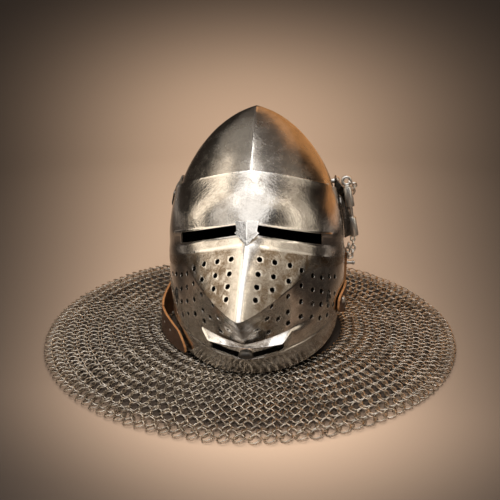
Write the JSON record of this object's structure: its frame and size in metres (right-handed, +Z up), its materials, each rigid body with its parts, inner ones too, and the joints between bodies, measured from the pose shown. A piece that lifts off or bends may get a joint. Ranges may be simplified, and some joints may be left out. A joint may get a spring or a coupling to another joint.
{
  "type": "pig-faced bascinet",
  "caption": "Pointed steel helmet with a hinged snouted visor, narrow sights, pierced cheeks and a mail curtain on a leather band, standing on its spread mail.",
  "frame": {"origin": "middle of the round mail, on the surface that the helmet stands on", "axes": "+Z up, -Y the way the helmet faces, +X towards the wearer's left"},
  "size_m": [0.514, 0.514, 0.2771],
  "materials": {
    "skull_steel": "polished by hand, with faint hammer marks",
    "visor_steel": "polished by hand, with faint hammer marks",
    "hinge_steel": "filed bright",
    "mail_steel": "dull drawn wire",
    "leather": "dark oiled leather with a raw edge"
  },
  "bodies": {
    "helmet": {"skull": "skull_steel", "pivot_stud_left": "hinge_steel", "pivot_stud_right": "hinge_steel", "vervelle_left_high": "hinge_steel", "vervelle_left_low": "hinge_steel", "vervelle_left_back": "hinge_steel", "vervelle_right_back": "hinge_steel", "vervelle_right_low": "hinge_steel", "vervelle_right_front": "hinge_steel", "leather_band": "leather", "leather_end_left": "leather", "leather_end_right": "leather", "aventail_mail": "mail_steel"},
    "visor": {"visor": "visor_steel", "mouth_boss": "visor_steel", "pivot_arm_left": "hinge_steel", "pivot_arm_right": "hinge_steel", "hinge_leaf_left": "hinge_steel", "hinge_pin_left": "hinge_steel", "pin_chain_left": "hinge_steel"}
  },
  "joints": [
    {"name": "visor_pivot", "type": "hinge", "parent": "helmet", "child": "visor", "pos_m": [0.00765, 0.02, 0.18616], "axis": [-0.9998, 0, -0.0209], "range_deg": [0, 65], "deforming": ["leather_end_left", "leather_end_right"]}
  ]
}
